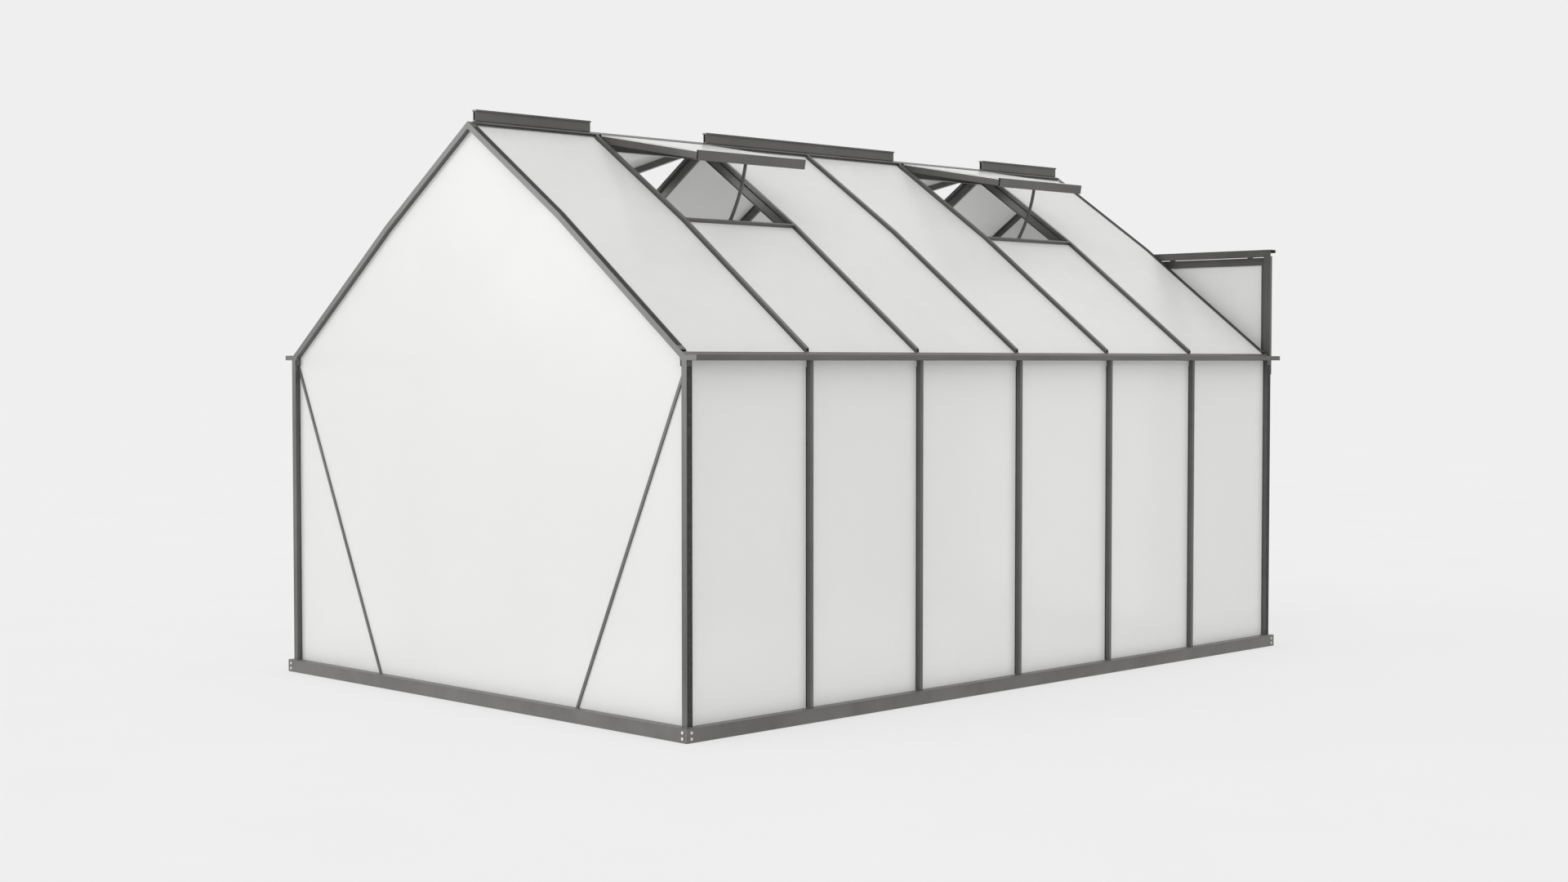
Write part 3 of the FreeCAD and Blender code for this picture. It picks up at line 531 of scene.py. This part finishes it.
def dust_group():
    """Mask of settled dust: upward faces, and a splashed band just above the ground, broken by noise."""
    group, start, end = new_group(
        "settled dust",
        [("Amount", "NodeSocketFloat", 0.5), ("Splash height", "NodeSocketFloat", 0.15)],
        [("Mask", "NodeSocketFloat")],
    )
    place = group.nodes.new("ShaderNodeTexCoord").outputs["Object"]
    facing = group.nodes.new("ShaderNodeSeparateXYZ")
    group.links.new(group.nodes.new("ShaderNodeNewGeometry").outputs["Normal"], facing.inputs[0])
    height = group.nodes.new("ShaderNodeSeparateXYZ")
    group.links.new(place, height.inputs[0])
    up = ranged(group, facing.outputs["Z"], 0.35, 0.95)
    share = math_node(group, "DIVIDE", height.outputs["Z"], start.outputs["Splash height"])
    low = ranged(group, share, 1.0, 0.0)
    cover = math_node(group, "MAXIMUM", up, math_node(group, "MULTIPLY", low, 0.6))
    broken = ranged(group, noise(group, place, 9.0, 6.0, 0.62), 0.30, 0.72, 0.25, 1.0)
    mask = math_node(group, "MULTIPLY", math_node(group, "MULTIPLY", cover, broken), start.outputs["Amount"])
    group.links.new(mask, end.inputs["Mask"])
    return group


def coat_group():
    """Powder coat: a fine orange peel height and a slow tone change along the bars."""
    group, start, end = new_group(
        "powder coat",
        [("Peel scale", "NodeSocketFloat", 900.0)],
        [("Height", "NodeSocketFloat"), ("Tone", "NodeSocketFloat")],
    )
    place = group.nodes.new("ShaderNodeTexCoord").outputs["Object"]
    peel = node(group, "ShaderNodeTexNoise", Detail=2.0, Roughness=0.4)
    group.links.new(place, peel.inputs["Vector"])
    group.links.new(start.outputs["Peel scale"], peel.inputs["Scale"])
    group.links.new(peel.outputs["Fac"], end.inputs["Height"])
    group.links.new(noise(group, place, 3.0, 5.0, 0.6), end.inputs["Tone"])
    return group


# ------------------------------------------------------------------ finishes
def new_material(name):
    material = bpy.data.materials.new(name)
    material.use_nodes = True
    tree = material.node_tree
    tree.nodes.clear()
    shader = tree.nodes.new("ShaderNodeBsdfPrincipled")
    output = tree.nodes.new("ShaderNodeOutputMaterial")
    tree.links.new(shader.outputs[0], output.inputs[0])
    return material, tree, shader


def placed_group(tree, group, **values):
    made = tree.nodes.new("ShaderNodeGroup")
    made.node_tree = group
    for key, value in values.items():
        made.inputs[key.replace("_", " ")].default_value = value
    return made


def coated_finish(dust, coat, settings):
    """Dark powder coat with settled dust."""
    material, tree, shader = new_material("powder coated aluminium")
    colour = tuple(settings.colour)
    film = placed_group(tree, dust, Amount=0.42, Splash_height=0.12)
    peel = placed_group(tree, coat, Peel_scale=900.0)
    deep = tuple(0.86 * value for value in colour) + (1.0,)
    light = tuple(1.16 * value for value in colour) + (1.0,)
    tone = mixed(tree, ranged(tree, peel.outputs["Tone"], 0.35, 0.65), deep, light)
    base = mixed(tree, film.outputs["Mask"], tone, tuple(settings.dust_colour) + (1.0,))
    tree.links.new(base, shader.inputs["Base Color"])
    rough = ranged(tree, peel.outputs["Tone"], 0.3, 0.7, settings.roughness - 0.03, settings.roughness + 0.05)
    dusty = math_node(tree, "ADD", rough, math_node(tree, "MULTIPLY", film.outputs["Mask"], 0.35))
    tree.links.new(dusty, shader.inputs["Roughness"])
    bump = node(tree, "ShaderNodeBump", Strength=0.25, Distance=settings.grain)
    tree.links.new(peel.outputs["Height"], bump.inputs["Height"])
    tree.links.new(bump.outputs["Normal"], shader.inputs["Normal"])
    return material


def milky_finish(dust, settings):
    """Milky hollow sheet: paler over its inner ribs, faintly dusty, and lets soft light through."""
    material, tree, shader = new_material("milky sheet")
    marks = tree.nodes.new("ShaderNodeUVMap")
    marks.uv_map = "surface"
    across = tree.nodes.new("ShaderNodeSeparateXYZ")
    tree.links.new(marks.outputs["UV"], across.inputs[0])
    turns = math_node(tree, "MULTIPLY", across.outputs["X"], math.pi / settings.flute)
    wave = math_node(tree, "ABSOLUTE", math_node(tree, "COSINE", turns, 0.0), 0.0)
    rib = math_node(tree, "POWER", wave, 24.0)
    colour = tuple(settings.colour)
    hollow = tuple(0.985 * value for value in colour) + (1.0,)
    cloud = tree.nodes.new("ShaderNodeTexCoord").outputs["Object"]
    uneven = noise(tree, cloud, 2.2, 4.0, 0.55)
    skin = mixed(tree, rib, hollow, colour + (1.0,))
    skin = mixed(tree, ranged(tree, uneven, 0.4, 0.75, 0.0, 0.10), skin, (0.84, 0.845, 0.84, 1.0))
    film = placed_group(tree, dust, Amount=0.10, Splash_height=0.30)
    skin = mixed(tree, film.outputs["Mask"], skin, (0.55, 0.53, 0.48, 1.0))
    tree.links.new(skin, shader.inputs["Base Color"])
    tree.links.new(ranged(tree, uneven, 0.3, 0.7, 0.18, 0.24), shader.inputs["Roughness"])
    shader.inputs["Transmission Weight"].default_value = settings.light_through
    shader.inputs["IOR"].default_value = 1.35
    shader.inputs["Specular IOR Level"].default_value = 0.12
    return material


def shade_black_finish():
    """Near black for the beads and strips of painted shade, with a little paler grey in random noise patches.
    """
    material, tree, shader = new_material("painted shade black")
    place = tree.nodes.new("ShaderNodeTexCoord").outputs["Object"]
    grey_patches = noise(tree, place, 60.0, 5.0, 0.6)
    black, grey = (0.018, 0.018, 0.019, 1.0), (0.06, 0.06, 0.06, 1.0)
    tree.links.new(mixed(tree, ranged(tree, grey_patches, 0.45, 0.8), black, grey), shader.inputs["Base Color"])
    tree.links.new(ranged(tree, grey_patches, 0.3, 0.8, 0.6, 0.8), shader.inputs["Roughness"])
    return material


def zinc_finish():
    """Zinc plated steel with a patchy spangle."""
    material, tree, shader = new_material("zinc plate")
    place = tree.nodes.new("ShaderNodeTexCoord").outputs["Object"]
    spangle = node(tree, "ShaderNodeTexVoronoi", Scale=420.0)
    tree.links.new(place, spangle.inputs["Vector"])
    patch = ranged(tree, spangle.outputs["Distance"], 0.1, 0.8)
    cool, warm = (0.50, 0.51, 0.53, 1.0), (0.66, 0.66, 0.65, 1.0)
    tree.links.new(mixed(tree, patch, cool, warm), shader.inputs["Base Color"])
    tree.links.new(ranged(tree, patch, 0.0, 1.0, 0.28, 0.45), shader.inputs["Roughness"])
    shader.inputs["Metallic"].default_value = 1.0
    return material


def nylon_finish():
    """Dark moulded nylon with faint flow marks round the wheel."""
    material, tree, shader = new_material("wheel nylon")
    place = tree.nodes.new("ShaderNodeTexCoord").outputs["Object"]
    flow = noise(tree, place, 240.0, 3.0, 0.5)
    black, grey = (0.014, 0.014, 0.015, 1.0), (0.032, 0.032, 0.034, 1.0)
    tree.links.new(mixed(tree, flow, black, grey), shader.inputs["Base Color"])
    tree.links.new(ranged(tree, flow, 0.3, 0.7, 0.38, 0.5), shader.inputs["Roughness"])
    return material


def floor_finish(settings):
    """Pale seamless floor that glows as much as the backdrop and still takes a soft shadow."""
    material, tree, shader = new_material("studio floor")
    place = tree.nodes.new("ShaderNodeTexCoord").outputs["Object"]
    speck = ranged(tree, noise(tree, place, 1.3, 3.0, 0.5), 0.3, 0.7, 0.315, 0.325)
    tree.links.new(speck, shader.inputs["Base Color"])
    shader.inputs["Roughness"].default_value = 1.0
    shader.inputs["Specular IOR Level"].default_value = 0.0
    shader.inputs["Emission Color"].default_value = (1.0, 1.0, 1.0, 1.0)
    shader.inputs["Emission Strength"].default_value = settings.backdrop * settings.floor_glow
    return material


finishes = {}


def finish(name, maker):
    """The named finish, made the first time it is wanted."""
    if name not in finishes:
        finishes[name] = maker()
    return finishes[name]


def sheet_finish():
    settings = bpy.context.scene.greenhouse_sheets
    return finish("sheet", lambda: milky_finish(finish("dust", dust_group), settings))


# ------------------------------------------------------------------ operators
class StripSheets(bpy.types.Operator):
    """Make the wall, roof and vent sheets with flutes down the wall or slope"""

    bl_idname = "greenhouse.strip_sheets"
    bl_label = "Wall, roof and vent sheets"

    def execute(self, context):
        settings = context.scene.greenhouse_sheets
        for source, name in STRIP_SHEETS.items():
            shells = [strip_shell(corners, settings) for corners in node_solids(source)]
            piece = make_piece(name, shells, sheet_finish(), body_of_node[source])
            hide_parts(source)
        return {"FINISHED"}


class PlateSheets(bpy.types.Operator):
    """Make the gable and door sheets with upright flutes"""

    bl_idname = "greenhouse.plate_sheets"
    bl_label = "Gable and door sheets"

    def execute(self, context):
        settings = context.scene.greenhouse_sheets
        for source, name in PLATE_SHEETS.items():
            shells = [plate_shell(corners, settings) for corners in node_solids(source)]
            piece = make_piece(name, shells, sheet_finish(), body_of_node[source])
            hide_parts(source)
        return {"FINISHED"}


class SheetShadeBeads(bpy.types.Operator):
    """Lay a black bead of painted contact shade on each sheet along the bars beside it"""

    bl_idname = "greenhouse.sheet_seals"
    bl_label = "Painted shade beads"

    def execute(self, context):
        settings = context.scene.greenhouse_seals
        beside_bar = settings.bar_half - settings.tuck + settings.radius
        wall_cuts = (settings.wall_foot, settings.wall_head)
        roof_cuts = (settings.roof_head, settings.roof_foot)
        for name, sources, cuts in (
            ("wall_shade_beads", SHADE_BEAD_WALLS, wall_cuts),
            ("roof_shade_beads", SHADE_BEAD_ROOFS, roof_cuts),
        ):
            shells = []
            for source in sources:
                solids = node_solids(source)
                first = min(corners[:, 1].min() for corners in solids)
                last = max(corners[:, 1].max() for corners in solids)
                for corners in solids:
                    pairs = self.trimmed(section_stations(corners), cuts)
                    low, high = corners[:, 1].min(), corners[:, 1].max()
                    if low > first:
                        shells.append(shade_bead(pairs, low + beside_bar, settings))
                    if high < last:
                        shells.append(shade_bead(pairs, high - beside_bar, settings))
            # Black beads that paint the contact shade beside the bars.
            shade_black = finish("shade_black", shade_black_finish)
            make_piece(name, shells, shade_black, body_of_node[sources[0]])
        return {"FINISHED"}

    @staticmethod
    def trimmed(pairs, cuts):
        """Section pulled in by the two cuts at its start and end."""
        pairs = pairs.copy()
        for tip, beyond, cut in ((0, 1, cuts[0]), (-1, -2, cuts[1])):
            run = pairs[beyond] - pairs[tip]
            pairs[tip] = pairs[tip] + run * cut / np.hypot(*run[1])
        return pairs


class CornerShadeStrips(bpy.types.Operator):
    """Lay a flat black strip of painted shade on the top of each gable rafter and the side of each corner
    post
    """

    bl_idname = "greenhouse.corner_covers"
    bl_label = "Corner shade strips"

    def execute(self, context):
        settings = context.scene.greenhouse_seals
        profile = low_cushion(settings)
        shells = []
        for end, toward in (("front", -1.0), ("back", 1.0)):
            post = np.concatenate(node_solids("corner_post_" + end + "_right"))
            face, edge = post[:, 0].max(), toward * (toward * post[:, 1]).max()
            middle = edge - toward * settings.corner_middle
            low = post[:, 2].min() + settings.shade_strip_foot
            high = post[:, 2].max() - settings.shade_strip_end
            rafters = np.concatenate(node_solids("gable_rafters_" + end))
            line = self.shortened(top_line(rafters[rafters[:, 0] > -1e-4]), settings.shade_strip_end)
            for side in (1.0, -1.0):
                mirror = np.array([side, 1.0, 1.0])
                path = np.array([[face, middle, low], [face, middle, high]]) * mirror
                shells.append(carried_bead(*profile, path, np.array([[side, 0.0, 0.0]] * 2)))
                path, step = in_section(line, middle) * mirror, in_section(mitred(line), 0.0) * mirror
                shells.append(carried_bead(*profile, path, step))
        # Black strips that paint the shade on the rafters' tops and the posts' long sides.
        shade_black = finish("shade_black", shade_black_finish)
        make_piece("corner_covers", shells, shade_black, body_of_node["ridge_beam"])
        return {"FINISHED"}

    @staticmethod
    def shortened(line, cut):
        """The line with twice the cut taken off its ridge end and once off its eave end."""
        line = line.copy()
        for tip, beyond, length in ((0, 1, 2 * cut), (-1, -2, cut)):
            run = line[beyond] - line[tip]
            line[tip] = line[tip] + run * length / np.hypot(*run)
        return line


class FrameFinish(bpy.types.Operator):
    """Give every bar, bolt and wheel its finish"""

    bl_idname = "greenhouse.frame_finish"
    bl_label = "Frame finishes"

    def execute(self, context):
        settings = context.scene.greenhouse_frame
        dust = finish("dust", dust_group)
        coat = finish("coat", coat_group)
        by_slot = {
            "anthracite_aluminium": finish("bars", lambda: coated_finish(dust, coat, settings)),
            "bolt_steel": finish("zinc", zinc_finish),
            "nylon": finish("nylon", nylon_finish),
            "polycarbonate": sheet_finish(),
        }
        for name, item in frame["nodes"].items():
            item.data.materials.clear()
            item.data.materials.append(by_slot[slot_of_node[name]])
        return {"FINISHED"}


class Studio(bpy.types.Operator):
    """Set up the floor, the soft light and the camera"""

    bl_idname = "greenhouse.studio"
    bl_label = "Studio"

    def execute(self, context):
        settings = context.scene.greenhouse_stage
        self.add_floor(settings)
        self.add_light(settings)
        self.add_camera(settings)
        context.scene.view_settings.view_transform = "Standard"
        return {"FINISHED"}

    @staticmethod
    def add_floor(settings):
        """Round floor, radius times cosine and sine of the angle round each ring, level at Z = 0."""
        turn = np.linspace(0.0, 2 * math.pi, 97)[:-1]
        radius = np.array([4.0, 12.0, 60.0, 400.0])
        x = radius[:, None] * np.cos(turn)[None, :]
        y = radius[:, None] * np.sin(turn)[None, :]
        points = np.stack([x, y, np.full_like(x, -settings.floor_drop)], axis=-1).reshape(-1, 3)
        number = np.arange(x.size).reshape(x.shape)
        ahead = np.roll(number, -1, axis=1)
        rings = np.stack([number[:-1], number[1:], ahead[1:], ahead[:-1]], axis=-1).reshape(-1, 4)
        mesh = bpy.data.meshes.new("floor")
        mesh.from_pydata(points, [], rings.tolist() + [number[0].tolist()])
        mesh.materials.append(floor_finish(settings))
        floor = bpy.data.objects.new("floor", mesh)
        bpy.context.scene.collection.objects.link(floor)

    @staticmethod
    def add_light(settings):
        world = bpy.data.worlds.new("backdrop")
        world.use_nodes = True
        sky = world.node_tree.nodes["Background"]
        sky.inputs["Color"].default_value = (1.0, 1.0, 1.0, 1.0)
        sky.inputs["Strength"].default_value = settings.backdrop
        bpy.context.scene.world = world
        for name, strength, direction, spread in (
            ("key", settings.key, settings.key_direction, settings.key_spread),
            ("fill", settings.fill, settings.fill_direction, settings.fill_spread),
        ):
            lamp = bpy.data.lights.new(name, "SUN")
            lamp.energy = strength
            lamp.angle = spread
            item = bpy.data.objects.new(name, lamp)
            item.rotation_mode = "QUATERNION"
            item.rotation_quaternion = Vector(direction).to_track_quat("-Z", "Y")
            bpy.context.scene.collection.objects.link(item)

    @staticmethod
    def add_camera(settings):
        lens = bpy.data.cameras.new("camera")
        lens.lens = settings.lens
        lens.sensor_width = 36.0
        lens.dof.use_dof = False
        lens.clip_end = 1000.0
        item = bpy.data.objects.new("camera", lens)
        item.location = settings.place
        item.rotation_euler = (math.pi / 2 - settings.pitch, 0.0, settings.azimuth)
        bpy.context.scene.collection.objects.link(item)
        bpy.context.scene.camera = item


OPERATORS = (StripSheets, PlateSheets, SheetShadeBeads, CornerShadeStrips, FrameFinish, Studio)


class GreenhousePanel(bpy.types.Panel):
    """Lists the pieces and their settings"""

    bl_idname = "VIEW3D_PT_greenhouse"
    bl_label = "Greenhouse"
    bl_space_type = "VIEW_3D"
    bl_region_type = "UI"
    bl_category = "Greenhouse"

    def draw(self, context):
        for operator in OPERATORS:
            self.layout.operator(operator.bl_idname)
        for name, group in SETTINGS.items():
            box = self.layout.box()
            for key in group.__annotations__:
                box.prop(getattr(context.scene, name), key)


def register():
    for group in SETTINGS.values():
        bpy.utils.register_class(group)
    for name, group in SETTINGS.items():
        setattr(bpy.types.Scene, name, PointerProperty(type=group))
    for operator in OPERATORS:
        bpy.utils.register_class(operator)
    bpy.utils.register_class(GreenhousePanel)


def unregister():
    bpy.utils.unregister_class(GreenhousePanel)
    for operator in reversed(OPERATORS):
        bpy.utils.unregister_class(operator)
    for name in SETTINGS:
        delattr(bpy.types.Scene, name)
    for group in SETTINGS.values():
        bpy.utils.unregister_class(group)


def main():
    register()
    bpy.ops.greenhouse.strip_sheets()
    bpy.ops.greenhouse.plate_sheets()
    bpy.ops.greenhouse.sheet_seals()
    bpy.ops.greenhouse.corner_covers()
    bpy.ops.greenhouse.frame_finish()
    bpy.ops.greenhouse.studio()


if __name__ == "__main__":
    main()
